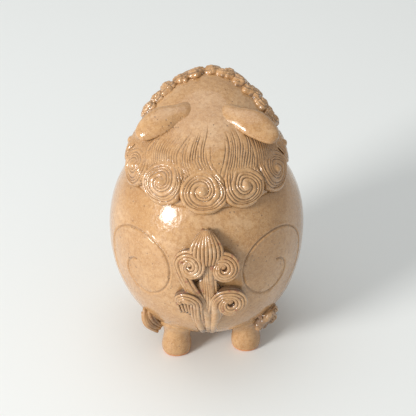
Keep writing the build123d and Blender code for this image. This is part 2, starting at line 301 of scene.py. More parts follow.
class CENSER_OT_pot(bpy.types.Operator):
    """Throw the hollow pot and cut the haunch spirals"""
    bl_idname = "censer.pot"
    bl_label = "Pot"

    def execute(self, context):
        p = pot_sizes()
        seat_angle = asin((p.seat - p.belly_height) / p.rise)
        inner_belly, inner_rise = p.belly - p.wall, p.rise - p.wall
        inner_angle = asin((p.seat - p.belly_height) / inner_rise)
        flank_rows, shoulder_rows, inner_rows, floor_rows = 46, 34, 12, 14
        outer = [(p.base_radius * k / 4, p.base) for k in range(4)]
        outer += [bezier(flank_curve(0, p.base), 1 - k / flank_rows) for k in range(flank_rows)]
        outer += [(p.belly * cos(seat_angle * k / shoulder_rows),
                   p.belly_height + p.rise * sin(seat_angle * k / shoulder_rows))
                  for k in range(shoulder_rows)]
        rim, mouth, bevel = p.belly * cos(seat_angle), inner_belly * cos(inner_angle), 0.5
        outer += [(rim + 0.35, p.seat - bevel), (rim - 0.1, p.seat), (mouth + bevel, p.seat),
                  (mouth, p.seat - bevel)]
        inner = [(inner_belly * cos(inner_angle * k / inner_rows),
                  p.belly_height + inner_rise * sin(inner_angle * k / inner_rows))
                 for k in range(inner_rows - 1, -1, -1)]
        low = p.base + p.floor
        inner += [bezier(flank_curve(-p.wall, low), k / floor_rows)
                  for k in range(1, floor_rows + 1)]
        inner += [(p.base_radius / 2, low), (0.0, low)]
        profile = outer + inner
        bm = turned(len(profile), 300)
        for vert in bm.verts:
            row = round(vert.co.length)
            angle = atan2(vert.co.x, vert.co.y)
            radius, height = profile[row]
            vert.co = (radius * sin(angle), radius * cos(angle), height)
        paths = [[haunch_point(t / HAUNCH_STEPS * HAUNCH_TURNS, side)
                  for t in range(HAUNCH_STEPS + 1)] for side in (1, -1)]

        def nearest(vert):
            """Distance from a point of the outside to the incised line, and how far along."""
            around = atan2(vert.co.x, vert.co.y) * p.belly
            if abs(abs(around) - HAUNCH_ACROSS) > HAUNCH_REACH:
                return far, 0.0
            if not HAUNCH_LOW < vert.co.z < HAUNCH_HIGH:
                return far, 0.0
            path = paths[0] if around > 0 else paths[1]
            best, index = min((hypot(around - a, vert.co.z - z), k)
                              for k, (a, z) in enumerate(path))
            return best, index / HAUNCH_STEPS

        far, flank_foot = 99.0, p.base + 4
        outside = [v for v in bm.verts if hypot(v.co.x, v.co.y) > pot_outside(
            min(v.co.z, p.seat)) - 0.6 and v.co.z > flank_foot]
        close = {v for v in outside if nearest(v)[0] < 2.6}
        edges = [e for e in bm.edges if all(v in close for v in e.verts)]
        bmesh.ops.subdivide_edges(bm, edges=edges, cuts=3, use_grid_fill=True)
        layer = pool_and_shade_layer(bm)
        for vert in bm.verts:
            if vert.co.z < flank_foot or vert.co.z > p.seat - 1:
                continue
            if hypot(vert.co.x, vert.co.y) < pot_outside(vert.co.z) - 1.2:
                continue
            angle, height = atan2(vert.co.x, vert.co.y), vert.co.z
            gap, along = nearest(vert)
            cut = max(0.0, 1 - (gap / p.haunch_width) ** 2) if gap < p.haunch_width else 0.0
            lip = 0.22 * exp(-((gap - 1.45) / 0.45) ** 2) if gap < 3 else 0.0
            fade = smooth(0.0, 0.04, along) * (1 - smooth(0.88, 1.0, along))
            # The incised line's depth drives its pooled glaze and painted shade.
            vert[layer] = cut * fade * 0.42
            uneven = wobble(vert.co, 26, 0.35) + wobble(vert.co, 9, 0.09)
            vert.co = on_pot(angle, height, (lip - cut * p.haunch_groove) * fade + uneven - 0.2)
        finish_piece(bm, "pot", POT, ["bowl"], "pot_glaze")
        return {"FINISHED"}


# ---------------------------------------------------------------- the cover's surface

def head_out(bearing, height):
    """Plan distance from the axis to the head, or below the seat to the hanging locks."""
    h, p = head_sizes(), pot_sizes()
    share = min(max((height - p.seat) / h.rise, 0.0), 0.999)
    seat = pot_outside(p.seat)
    radius, shift = seat * sqrt(1 - share * share), h.lean * share * share
    dome = sqrt(max(radius ** 2 - (shift * sin(bearing)) ** 2, 0.0)) - shift * cos(bearing)
    if height > p.seat + 12:
        return dome
    skirt = pot_outside(height) + h.clearance
    return (dome + skirt + sqrt((dome - skirt) ** 2 + 1.2)) / 2


def on_head(bearing, height, out=0.0):
    """A point of the cover's surface by bearing and level, moved out along its normal."""
    slope = (head_out(bearing, height + 0.4) - head_out(bearing, height - 0.4)) / 0.8
    size = hypot(1.0, slope)
    distance = head_out(bearing, height) + out / size
    return Vector((distance * sin(bearing), distance * cos(bearing), height - out * slope / size))


def lock_table():
    """Every coiled lock: name, bearing, level, size, side its strands come from, pitch."""
    h = head_sizes()
    table = []
    middle = (h.mane_count - 1) / 2
    for index in range(h.mane_count):
        bearing = h.mane_offset + h.mane_pitch * (middle - index)
        hand = -1 if bearing > -10 else 1
        size = 1.0 + 0.05 * sin(index * 2.3 + 1.0)
        rise = 1.0 * cos(index * 1.7)
        if index == middle:
            size, rise = 1.05, -0.6
        table.append((f"mane_curl_{index + 1}", radians(bearing), h.mane_height + rise, size,
                      hand, radians(h.mane_pitch)))
    return table


def strand_phase(offset, period, widths):
    """How deep between two grooves a point lies: 0 on a strand's back, 1 in the groove."""
    place = offset % period
    for width in widths:
        if place <= width:
            middle = abs(2 * place / width - 1)
            return 1 - sqrt(max(0.0, 1 - middle ** 2.1))
        place -= width
    return 0.0


COIL_WIDTHS = (3.1, 1.65, 1.55)


def hair(across, up, hand, size):
    """Groove depth share on a lock and above it, and how far in from its outline. across
    and up are millimetres from the lock's eye."""
    h = head_sizes()
    outer, gain = h.lock_radius * size, h.lock_gain
    side = across * hand
    angle = atan2(-up, side) % (2 * pi)
    radius = hypot(across, up)
    edge = outer - gain * angle / (2 * pi)
    if radius < edge:
        eye = 2.7
        offset = edge - radius
        depth = strand_phase(offset, sum(COIL_WIDTHS), COIL_WIDTHS)
        if radius < eye + 0.5:
            depth *= smooth(eye - 0.6, eye + 0.5, radius)
        return depth, offset
    # Above the coil the strands lean towards the middle of the lock.
    if up > 0:
        if hand < 0:
            sweep = 11.4 * smooth(0.0, 18.0, up) - 2.5 * smooth(20.0, 30.0, up)
        else:
            sweep = 15.0 * smooth(3.0, 30.0, up)
        offset = outer - side - sweep
        if offset < 0:
            return 0.0, offset
        if offset < gain:
            depth = strand_phase(offset, sum(COIL_WIDTHS), COIL_WIDTHS)
        else:
            depth = strand_phase(offset - gain, h.strand, (h.strand,))
        return depth, offset
    return 0.0, 0.0


def coiled_lock(bearing, height, size, hand, pitch, relief, scale=1.0, rings=54, steps=264):
    """One coiled lock as a carved disc on the cover, thick at its foot."""
    h = head_sizes()
    middle = head_out(bearing, height)
    reach = middle * pitch / 2 / scale
    stretch, back_rows, round_off = 1.0 / 1.14, 5, 2.6
    bm = turned(rings + back_rows, steps)
    layer = pool_and_shade_layer(bm)
    outer, gain = h.lock_radius * size, h.lock_gain
    for vert in bm.verts:
        row = round(vert.co.length)
        angle = atan2(vert.co.y, vert.co.x) % (2 * pi)
        side, down = cos(angle), sin(angle)
        edge = outer - gain * angle / (2 * pi)
        # The upper half is a rounded square; the lower half is the coil's own outline.
        if angle > pi:
            lift = sin(angle - pi)
            top = 12.5 * size
            square = (abs(side / reach) ** 5 + abs(lift / top) ** 5) ** -0.2
            edge = max(square, edge * 0.9)
        edge = min(edge, reach / max(abs(side), 0.05) + 0.6)
        share = min(row / (rings - 1), 1.0)
        radius = edge * share
        across, up = radius * side * hand, -radius * down
        waver = wobble((across + bearing * 50, up, height), 6.0, 0.55)
        depth, _ = hair(across + waver, up + waver, hand, size)
        from_edge = edge - radius
        low = smooth(-0.25, 0.35, down)
        # Thick at the foot, with a raised eye in a shallow dish and a rolled lower edge.
        body = relief * (1 - smooth(-2.0, 11.5, up)) * 0.9 + 0.5 * (1 - smooth(-6, 9, up)) - 0.35
        eye = 1.3 * max(0.0, 1 - (hypot(across, up) / 2.6) ** 2)
        dish = 0.55 * exp(-(hypot(across, up) / 6.5) ** 2)
        body += eye - dish
        if from_edge < round_off and low > 0:
            rolled = sqrt(max(0.0, 1 - (1 - from_edge / round_off) ** 2))
            body = body * (1 - low * (1 - rolled))
        body -= 0.7 * (1 - smooth(0.0, 2.2, from_edge)) * smooth(0.0, 3.0, up)
        groove = h.groove * depth * smooth(0.0, 1.6, from_edge + 3 * (1 - low))
        body += wobble((across + height * 3, up, bearing * 40), 4.0, 0.16)
        out = (body - groove) * scale
        # The last rows close the back, on or just under the cover's surface.
        if row >= rings:
            inner = 1 - (row - rings + 1) / back_rows
            across, up = across * inner, up * inner
            out = -0.3 * smooth(-8, 0, up)
            depth = 0.0
        # The groove depth drives the pooled glaze and painted shade in the lock.
        vert[layer] = min(1.0, depth ** 1.5 * 1.1)
        turn = bearing + across * scale / middle
        vert.co = on_head(turn, height + up * scale * stretch, out)
    return bm


class CENSER_OT_mane(bpy.types.Operator):
    """Carve the coiled locks of the mane and the beard"""
    bl_idname = "censer.mane"
    bl_label = "Mane and beard"

    def execute(self, context):
        h = head_sizes()
        for name, bearing, height, size, hand, pitch in lock_table():
            bm = coiled_lock(bearing, height, size, hand, pitch, h.lock_relief)
            finish_piece(bm, "carved_" + name, COVER, [name], "lock_glaze")
        for name, place, hand in (("left", -1, -1), ("middle", 0, 1), ("right", 1, 1)):
            bm = coiled_lock(radians(180 + place * 22.0), 114.5, 0.86, hand, radians(23.0),
                             relief=4.6, scale=0.72, rings=40, steps=200)
            finish_piece(bm, "carved_beard_" + name, COVER, ["beard_curl_" + name],
                         "lock_glaze")
        return {"FINISHED"}


CROWN_GROOVES_LOW, CROWN_GROOVES_HIGH = 128, 158


def crown_groove(bearing, height, locks):
    """Depth share of the hair grooves that run down the crown into the locks."""
    h = head_sizes()
    if not CROWN_GROOVES_LOW <= height <= CROWN_GROOVES_HIGH:
        return 0.0
    nearest = sorted(locks, key=lambda lock: abs(lock[1] - bearing))[:2]
    for _, centre, level, size, hand, _ in nearest:
        turn = bearing - centre
        narrow = 0.4 + 0.6 * head_out(bearing, height) / head_out(centre, level)
        across = turn * head_out(centre, level) * narrow
        up = (height - level) * 1.25
        across += wobble((centre * 30, height, across), 9.0, 0.8) * smooth(4, 12, up)
        depth, offset = hair(across, up, hand, size)
        if offset <= 0 or offset > 32:
            continue
        strand = int(offset / h.strand)
        start = 27.5 + 12.0 * noise.noise(Vector((strand * 1.7, centre * 9, 0.3)))
        start -= 0.3 * max(0.0, offset - 10.0)
        patch = 0.9 + 0.7 * noise.noise(Vector((across, height, centre * 9)) / 6.5)
        fade = (1 - smooth(start - 6.0, start, up)) * min(max(patch, 0.35), 1.0)
        return depth * fade
    return 0.0


VENT_LEVELS = (127.6, 129.6, 131.7, 133.8)
VENT_HALF_WIDTH, VENT_BACK = 6.0, -30


class CENSER_OT_head(bpy.types.Operator):
    """Shape the hollow head with the grooved crown, the seat and the flange"""
    bl_idname = "censer.head"
    bl_label = "Head"

    def execute(self, context):
        h, p = head_sizes(), pot_sizes()
        # The crown goes by even angles and the side by even levels; the seat, the flange and
        # the bore are rings; and the inside goes up to the top again.
        locks = lock_table()
        side_foot, side_rows = 134.5, 30
        rows = [("out", p.seat + h.rise)]
        rows += [("out", p.seat + h.rise * sin(radians(89.5 - 3.6 * k))) for k in range(12)]
        side_top = rows[-1][1]
        rows += [("out", side_top + (side_foot - side_top) * k / side_rows)
                 for k in range(1, side_rows)]
        rows += [("out", z) for z in (side_foot, *reversed(VENT_LEVELS), 124, 121)]
        seat = pot_outside(p.seat)
        flange, bore = h.flange_radius, h.flange_radius - h.flange_wall
        low = p.seat - h.flange_height
        rows += [("ring", seat, p.seat + 0.4), ("ring", seat - 0.4, p.seat),
                 ("ring", flange, p.seat), ("ring", flange, low + 0.5),
                 ("ring", flange - 0.5, low), ("ring", bore, low), ("ring", bore, p.seat + h.ledge)]
        rows += [("in", z) for z in (p.seat + h.ledge, *VENT_LEVELS, 138, 143, 148, 152, 155, 157,
                                     158.3, 158.9, 159.0)]
        bm = turned(len(rows), 960)
        layer = pool_and_shade_layer(bm)
        for vert in bm.verts:
            row = rows[round(vert.co.length)]
            bearing = atan2(vert.co.x, vert.co.y)
            if row[0] == "ring":
                vert.co = (row[1] * sin(bearing), row[1] * cos(bearing), row[2])
                continue
            if row[0] == "in":
                share = (row[1] - p.seat) / (h.rise - h.wall)
                radius = (seat - h.wall) * sqrt(max(0.0, 1 - share * share))
                shift = h.lean * share ** 2
                vert.co = (radius * sin(bearing), radius * cos(bearing) - shift, row[1])
                continue
            share = (row[1] - p.seat) / h.rise
            radius, shift = seat * sqrt(max(0.0, 1 - share * share)), h.lean * share * share
            vert.co = (radius * sin(bearing), radius * cos(bearing) - shift, row[1])
            if share < 0.97:
                normal = Vector((sin(bearing), cos(bearing), 1.6 * share ** 2)).normalized()
                depth = crown_groove(atan2(vert.co.x, vert.co.y), row[1], locks)
                # The groove depth drives the pooled glaze and painted shade on the crown.
                vert[layer] = min(1.0, depth * 1.1)
                uneven = wobble(vert.co, 20, 0.3) + wobble(vert.co, 7, 0.08)
                vert.co += normal * (uneven - depth * h.groove * 0.95)
        self.cut_vent(bm)
        finish_piece(bm, "head", COVER, ["head_shell"], "head_glaze")
        return {"FINISHED"}

    def cut_vent(self, bm):
        """Open the slot of the mouth through the wall."""
        gone = []
        for face in bm.faces:
            middle = face.calc_center_median()
            at_level = VENT_LEVELS[0] < middle.z < VENT_LEVELS[-1]
            if at_level and abs(middle.x) < VENT_HALF_WIDTH and middle.y < VENT_BACK:
                gone.append(face)
        border = {e for f in gone for e in f.edges if any(g not in gone for g in e.link_faces)}
        bmesh.ops.delete(bm, geom=gone, context="FACES")
        bmesh.ops.bridge_loops(bm, edges=[e for e in border if e.is_valid])


# ---------------------------------------------------------------- legs and tufts

def leg_middle(node):
    """Plan position of a leg, in millimetres."""
    low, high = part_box(node)
    return Vector(((low[0] + high[0]) / 2 / MM, (low[1] + high[1]) / 2 / MM, 0.0))


class CENSER_OT_legs(bpy.types.Operator):
    """Turn the four stub legs with their bare soles"""
    bl_idname = "censer.legs"
    bl_label = "Legs"

    def execute(self, context):
        # Radius and height from the sole up; the top is trimmed to the pot's underside.
        profile = [(0, 0), (4, 0), (7.3, 0), (8.1, 0.15), (8.75, 0.8), (9.15, 1.9), (9.35, 3.6),
                   (9.3, 5.6), (9.0, 8), (8.55, 10.5), (8.25, 13), (8.15, 15.5), (8.2, 18),
                   (8.3, 20), (8.4, 22), (8.5, 24), (8.5, 26), (8.6, 28), (8.6, 30)]
        profile += [(8.7, level) for level in range(32, 41, 2)] + [(4, 40), (0, 40)]
        luting = 2.2
        for node in sorted(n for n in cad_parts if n.startswith("leg_")):
            middle = leg_middle(node)
            bm = turned(len(profile), 96)
            for vert in bm.verts:
                radius, height = profile[round(vert.co.length)]
                angle = atan2(vert.co.y, vert.co.x)
                out = Vector((cos(angle), sin(angle), 0.0))
                under = pot_underside(hypot(*(middle + out * radius).xy))
                radius += luting * smooth(-4.5, 1.0, height - under) * min(radius / 8.0, 1.0)
                place = middle + out * radius
                place.z = min(height, pot_underside(hypot(place.x, place.y)) + luting)
                if 0 < height < 20:
                    place.x += wobble(place, 11, 0.35)
                    place.y += wobble(place + Vector((9, 9, 9)), 11, 0.35)
                vert.co = place
            finish_piece(bm, "foot_" + node, POT, [node], "leg_glaze")
        return {"FINISHED"}


class CENSER_OT_tufts(bpy.types.Operator):
    """Lay the tufts of hair at the hocks"""
    bl_idname = "censer.tufts"
    bl_label = "Tufts"

    def execute(self, context):
        count = 6
        for node in sorted(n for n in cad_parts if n.startswith("tuft_")):
            side = 1 if "left" in node else -1
            end = 1 if "rear" in node else -1
            fan = "right" in node
            strand, first = (self.fanned, 1) if fan else (self.combed, 0)
            bm = bmesh.new()
            pool_and_shade_layer(bm)
            join_tubes(bm, [strand(side, end, k, k / (count - 1)) for k in range(first, count)])
            if fan:
                self.shells(bm, side, end)
            self.backing(bm, side, Vector((side * 34.0, end * 32.0, 26.0)),
                         Vector((4.5, 5.5, 6.5)) if fan else Vector((3.6, 4.6, 9.0)))
            finish_piece(bm, "hair_" + node, POT, [node], "tail_glaze")
        return {"FINISHED"}

    def fanned(self, side, end, k, share):
        """A strand of the right tufts, which spread upwards from one root."""
        angle = radians(200 - 165 * share)
        root = Vector((side * 30.5, end * 33.0, 24.5))
        reach = 10.0 + 1.5 * sin(k * 2.1)
        tip = root + Vector((side * (5.5 - 5.0 * cos(angle)) * 0.95, end * 1.0,
                             reach * sin(angle - radians(75)) * 0.8))
        middle = (root + tip) / 2 + Vector((side * 1.5, end * 3.2, 0.5))
        return [(root, 1.6), (middle, 2.3), (tip, 2.2),
                (tip + Vector((side * 0.6, end * 0.8, -1.2)), 1.0)]

    def combed(self, side, end, k, share):
        """A strand of the left tufts, which hang side by side."""
        share -= 0.5
        spread = Vector((side * 2.6, end * 1.8, -2.2)) * 2 * share
        root = Vector((side * 36.5, end * 33.5, 37.0 + 1.2 * sin(k * 2))) + spread
        tip = Vector((side * 29.5, end * 34.5, 20.0 + 1.5 * sin(k * 3))) + spread * 0.7
        bulge = Vector((side * 3.4, end * 4.0, 0)) * (1 - 1.2 * share * share)
        return [(root.lerp(tip, t) + bulge * sin(pi * t), 1.0 + 0.5 * sin(pi * (0.1 + 0.8 * t)))
                for t in (j / 5 for j in range(6))]

    def shells(self, bm, side, end):
        """Four small shells of hair at the root of a fanned tuft."""
        outward = Vector((side * 0.62, end * 0.85, 0.12)).normalized()
        for along, rise, radius in ((0.0, 1.5, 5.4), (3.4, -2.4, 3.9), (-1.2, -4.6, 3.6),
                                    (4.4, 3.2, 3.5)):
            place = Vector((side * (36.5 + along), end * (32.6 - along * 0.6), 28.5 + rise))
            hair_shell(bm, place, outward, radius * 1.12, 2.3, along + rise)

    def backing(self, bm, side, middle, size):
        """A leaning ball behind the strands, painted dark as shade so that no gap shows through."""
        ball = bmesh.ops.create_uvsphere(bm, u_segments=20, v_segments=12, radius=1.0)
        lean = Matrix.Rotation(radians(side * 26), 3, "Y")
        for vert in ball["verts"]:
            vert.co = middle + lean @ Vector(a * b for a, b in zip(vert.co, size))
        layer = pool_and_shade_layer(bm)
        # Painted shade on the ball and on the strands near its middle.
        for vert in bm.verts:
            away = (vert.co - middle).length
            vert[layer] = max(vert[layer], 0.55 - 0.4 * smooth(4.0, 9.0, away))


# ---------------------------------------------------------------- tail

def tail_strands(path, lanes, pitch, radius, lift):
    """Parallel strands along a path of (across, up) points on the back of the pot."""
    belly, taper = pot_sizes().belly, 0.35
    strands = []
    count = len(path)
    for lane in range(lanes):
        shift = (lane - (lanes - 1) / 2) * pitch
        points = []
        for k, (across, up) in enumerate(path):
            before, after = path[max(k - 1, 0)], path[min(k + 1, count - 1)]
            along = Vector((after[0] - before[0], after[1] - before[1])).normalized()
            narrow = 1 - 0.6 * smooth(0.5, 1.0, k / (count - 1))
            x = across - along.y * shift * narrow
            z = up + along.x * shift * narrow
            height = lift(k / (count - 1)) - 0.8 * (shift / 3.0) ** 2
            size = radius * (taper + (1 - taper) * sin(pi * min(1.0, 0.18 + 0.8 * k / count)) ** 0.6)
            waver = noise.noise(Vector((across, up, lane * 3.0)) / 5.0)
            points.append((on_pot(x / belly, z, height + 0.4 * waver), size * (1 + 0.22 * waver)))
        strands.append(points)
    return strands


def coil_path(middle, radius, hand, turns):
    """A path that comes up beside a coil, goes over and winds into it."""
    first, steep, eye = radians(180 if hand > 0 else 0), 0.8, 1.3
    steps = int(turns * 14)
    points = []
    for k in range(steps + 1):
        t = k / steps
        angle = first - hand * t * turns * 2 * pi
        size = radius * (1 - t) ** steep + eye
        points.append((middle[0] + size * cos(angle), middle[1] + size * sin(angle)))
    return points


def stem_lift(t):
    """How far the tail's stem stands off the pot along its length."""
    return 1.0 + 2.2 * smooth(0, 0.4, t) + 2.4 * smooth(0.6, 1, t)


def coil_lift(t):
    """How far a coil's strands stand off the pot along their length."""
    return 1.4 + 5.8 * sin(pi * min(t * 0.95, 0.75)) ** 0.9


def fringe_lift(t):
    """How far the fringe stands off the pot along its length."""
    return 4.2 - 1.6 * t


# Each coil: its stalk and its middle as (across, up) in millimetres, radius, hand and turns.
TAIL_COILS = {
    "tail_coil_upper_left": ([(-1.5, 36), (-1.6, 46), (0.6, 56), (4.6, 66), (10.0, 76)],
                             (9.0, 90.0), 5.4, -1, 1.3),
    "tail_coil_upper_right": ([(-3.0, 54), (-3.4, 66), (-2.2, 77)], (-9.2, 88.5), 6.0, -1, 1.35),
    "tail_coil_lower_left": ([(3.0, 34), (4.2, 42), (5.6, 54)], (12.4, 64.0), 5.6, 1, 0.58),
    "tail_coil_lower_right": ([(-3.4, 34), (-5.0, 43), (-5.6, 54)], (-13.0, 63.5), 6.8, -1, 1.4),
}


class CENSER_OT_tail(bpy.types.Operator):
    """Roll the scroll tail: a grooved flame and four coils"""
    bl_idname = "censer.tail"
    bl_label = "Tail"

    def execute(self, context):
        bm = bmesh.new()
        join_tubes(bm, [self.flame_strand(lane / 4 - 1) for lane in range(9)])
        self.core(bm, 0.0, 99.0, 7.4, 9.0, 6.4)
        stem = [(0.0, 34), (0.3, 44), (-0.5, 54), (-1.6, 64), (-1.0, 74), (0.0, 84), (0.0, 94)]
        self.roll(bm, stem, 4, 1.6, 1.05, stem_lift, 2.4)
        self.core(bm, 0.0, 57.0, 11.5, 23.0, 3.6)
        self.keep(bm, "tail_flame", ["tail_plume"])
        for node, (stalk, middle, radius, hand, turns) in TAIL_COILS.items():
            bm = bmesh.new()
            path = stalk + coil_path(middle, radius, hand, turns)
            self.roll(bm, path, 4, 1.8, 1.15, coil_lift, 3.8)
            self.core(bm, middle[0], middle[1] + 1.0, 3.0, 3.0, 6.6)
            if node == "tail_coil_lower_left":
                self.fringe(bm)
            self.keep(bm, "rolled_" + node, [node])
        return {"FINISHED"}

    def flame_strand(self, share):
        """A strand of the flame: share goes from -1 at one edge to 1 at the other."""
        belly, foot, tall, rows = pot_sizes().belly, 91, 18.8, 12
        points = []
        for t in (k / (rows - 1) for k in range(rows)):
            spread = 6.4 + 2.0 * smooth(0.0, 0.3, t)
            across = -share * spread * sqrt(1 - 0.97 * smooth(0.42, 1.02, t))
            lift = 4.2 + 3.8 * sin(pi * (0.15 + 0.75 * t)) - 2.0 * share * share
            points.append((on_pot(across / belly, foot + tall * t, min(lift, 8.2)),
                           1.0 + 0.25 * sin(pi * t)))
        return points

    def fringe(self, bm):
        """Five short strands that hang from the lower left coil."""
        for k in range(5):
            across, up = 9.0 + 1.9 * k, 63.5 + 1.5 * sin(k)
            path = [(across, up), (across - 0.9, up - 6.5), (across - 1.4, up - 13.0 + k)]
            self.roll(bm, path, 1, 1.0, 1.15, fringe_lift, 1.4)

    def roll(self, bm, path, lanes, pitch, radius, lift, core):
        """Strands along a path over one thicker strand, so that no gap shows through."""
        strands = tail_strands(path, lanes, pitch, radius, lift)
        under = tail_strands(path, 1, 0.0, core, lambda t: lift(t) * 0.45)
        join_tubes(bm, strands + under, roundness=5)

    def core(self, bm, across, up, wide, tall, out):
        """A rounded backing behind the strands, so that no gap shows through."""
        belly = pot_sizes().belly
        ball = bmesh.ops.create_uvsphere(bm, u_segments=24, v_segments=14, radius=1.0)
        for vert in ball["verts"]:
            x, z = across + vert.co.x * wide, up + vert.co.z * tall
            vert.co = on_pot(x / belly, z, max(vert.co.y, -0.1) * out)

    def keep(self, bm, name, nodes):
        """Paint shade on what lies deep against the pot or faces away from the pot's normal, and
        finish the piece.
        """
        layer = pool_and_shade_layer(bm)
        bm.normal_update()
        for vert in bm.verts:
            out = hypot(vert.co.x, vert.co.y) - pot_outside(min(max(vert.co.z, 15), 118))
            across, up = pot_slope(min(max(vert.co.z, 20), 116))
            angle = atan2(vert.co.x, vert.co.y)
            facing = vert.normal.dot(Vector((across * sin(angle), across * cos(angle), up)))
            vert[layer] = min(1.0, 1.1 - smooth(0.1, 0.8, facing) * smooth(-0.5, 1.6, out))
        finish_piece(bm, name, POT, nodes, "tail_glaze")


# ---------------------------------------------------------------- ruff, ears and face

def head_level(x, y):
    """Level of the head's surface over a point of the cover's own plan."""
    h, p = head_sizes(), pot_sizes()
    seat = pot_outside(p.seat)
    a, b = h.lean ** 2, 2 * y * h.lean + seat ** 2
    c = x * x + y * y - seat ** 2
    return p.seat + h.rise * sqrt(max(0.0, (sqrt(b * b - 4 * a * c) - b) / (2 * a)))


def head_front(x, height):
    """Where the front of the head stands at a distance from its middle line, at a level."""
    h, p = head_sizes(), pot_sizes()
    share = (height - p.seat) / h.rise
    return -h.lean * share ** 2 - sqrt(pot_outside(p.seat) ** 2 * (1 - share ** 2) - x * x)


def frame_at(place, outward):
    """A matrix that stands local Z along outward at place."""
    turn = outward.to_track_quat("Z", "Y").to_matrix().to_4x4()
    return Matrix.Translation(place) @ turn


def hair_shell(bm, place, outward, radius, turns, spin):
    """A small rosette of coiled hair: a domed disc with a spiral groove."""
    rings, steps = 24, 76
    disc = turned(rings + 1, steps)
    layer = pool_and_shade_layer(disc)
    matrix = frame_at(place, outward)
    for vert in disc.verts:
        row = round(vert.co.length)
        angle = atan2(vert.co.y, vert.co.x) + spin
        share = min(row / (rings - 1), 1.0)
        phase = (share * turns + angle / (2 * pi)) % 1.0
        cut = 1 - sqrt(max(0.0, 1 - abs(2 * phase - 1) ** 2.4))
        lobes = 1 + 0.12 * cos(4 * angle + spin)
        cut *= smooth(0.04, 0.2, share)
        dome = sqrt(max(0.0, 1 - share ** 2.2))
        local = Vector((cos(angle) * share * radius * lobes, sin(angle) * share * radius * lobes,
                        dome * radius * 0.85 - cut * radius * 0.36 - 0.6))
        if row == rings:
            local.z = -2.0
        # The spiral groove drives the pooled glaze and painted shade in the shell.
        vert[layer] = min(1.0, cut * 1.1)
        vert.co = matrix @ local
    bmesh.ops.contextual_create(disc, geom=[e for e in disc.edges if e.is_boundary])
    bmesh.ops.triangulate(disc, faces=[f for f in disc.faces if len(f.verts) > 4])
    mesh = bpy.data.meshes.new("shell")
    disc.to_mesh(mesh)
    disc.free()
    bm.from_mesh(mesh)
    bpy.data.meshes.remove(mesh)


class CENSER_OT_ruff(bpy.types.Operator):
    """Set the row of hair shells over the forehead"""
    bl_idname = "censer.ruff"
    bl_label = "Ruff"

    def execute(self, context):
        h, p = head_sizes(), pot_sizes()
        centre = Vector((0, -h.lean / 3, p.seat))
        # A bow of shells from side to side, furthest forward in the middle.
        count, reach, sweep, front, half_fan = 11, 36.0, 21.5, 36.0, radians(65)
        for index in range(count):
            share = 1 - 2 * index / (count - 1)
            x = reach * sin(half_fan * share) / sin(half_fan)
            y = sweep * abs(x / reach) ** 1.5 - front
            bm = bmesh.new()
            pool_and_shade_layer(bm)
            for k in range(4):
                dx = 2.3 * cos(k * 2.4 + index * 1.3) * min(k, 1)
                dy = 2.9 * sin(k * 2.4 + index * 1.3) * min(k, 1)
                skin = Vector((x + dx, y + dy, head_level(x + dx, y + dy)))
                outward = (skin - centre).normalized()
                size = 4.6 - 0.45 * k + 0.5 * sin(index * 3.1 + k)
                hair_shell(bm, skin + outward * (0.4 + 0.35 * (k % 2)), outward, size,
                           2.2 if k % 2 else 2.6, index * 1.1 + k * 2.0)
            name = f"ruff_{index + 1:02d}"
            finish_piece(bm, "carved_" + name, COVER, [name.replace("_", "_curl_")], "lock_glaze")
        for name, side in SIDES.items():
            bearing = radians(180 - side * 38)
            outward = Vector((sin(bearing), cos(bearing), 0.15)).normalized()
            bm = bmesh.new()
            hair_shell(bm, on_head(bearing, 148.5, 0.2), outward, 4.6, 2.6, 1.0)
            finish_piece(bm, "carved_cheek_" + name, COVER, ["cheek_curl_" + name], "lock_glaze")
        return {"FINISHED"}


class CENSER_OT_ears(bpy.types.Operator):
    """Model the leaf-shaped ears"""
    bl_idname = "censer.ears"
    bl_label = "Ears"

    def execute(self, context):
        rows = 60
        tips = {"left": Vector((40.0, 14.0, 143.8)), "right": Vector((-43.0, 13.0, 145.8))}
        upright = Vector((0, 0.6, 1.0))
        for name, side in SIDES.items():
            tip = tips[name]
            root = Vector((side * 5.5, -3.0, 147.0))
            shoulder = Vector((side * 18.5, 2.5, 163.0))
            bm = turned(rows + 1, 60)
            for vert in bm.verts:
                row = round(vert.co.length)
                angle = atan2(vert.co.y, vert.co.x)
                t = 1 - (row / rows) ** 0.8
                middle = root * (1 - t) ** 2 + shoulder * 2 * t * (1 - t) + tip * t * t
                forward = ((shoulder - root) * (1 - t) + (tip - shoulder) * t).normalized()
                thick = (upright - forward * forward.dot(upright)).normalized()
                wide = thick.cross(forward)
                leaf = sqrt(max(0.0, 1 - max(0.0, (t - 0.62) / 0.38) ** 2.4))
                width = leaf * (6.6 + 2.0 * smooth(0.35, 0.68, t) + 4.0 * (1 - smooth(0.1, 0.45, t)))
                thickness = leaf ** 0.8 * (3.6 + 2.4 * (1 - smooth(0.15, 0.5, t)))
                place = middle + wide * cos(angle) * width
                place += thick * sin(angle) * thickness * (1.0 if sin(angle) > 0 else 0.66)
                place += Vector((wobble(place, 9, 0.3), wobble(place * 1.3, 9, 0.3), 0))
                vert.co = place
            bmesh.ops.contextual_create(bm, geom=[e for e in bm.edges if e.is_boundary])
            finish_piece(bm, "leaf_ear_" + name, COVER, ["ear_" + name], "head_glaze")
        return {"FINISHED"}


def rounded_lump(bm, place, size, segments=28, squareness=1.0):
    """A rounded lump: a ball scaled to size, squared off a little."""
    ball = bmesh.ops.create_uvsphere(bm, u_segments=segments, v_segments=segments // 2 + 2,
                                     radius=1.0)
    for vert in ball["verts"]:
        x, y, z = (abs(c) ** squareness * (1 if c > 0 else -1) for c in vert.co)
        vert.co = place + Vector((x * size[0], y * size[1], z * size[2]))
    return ball["verts"]


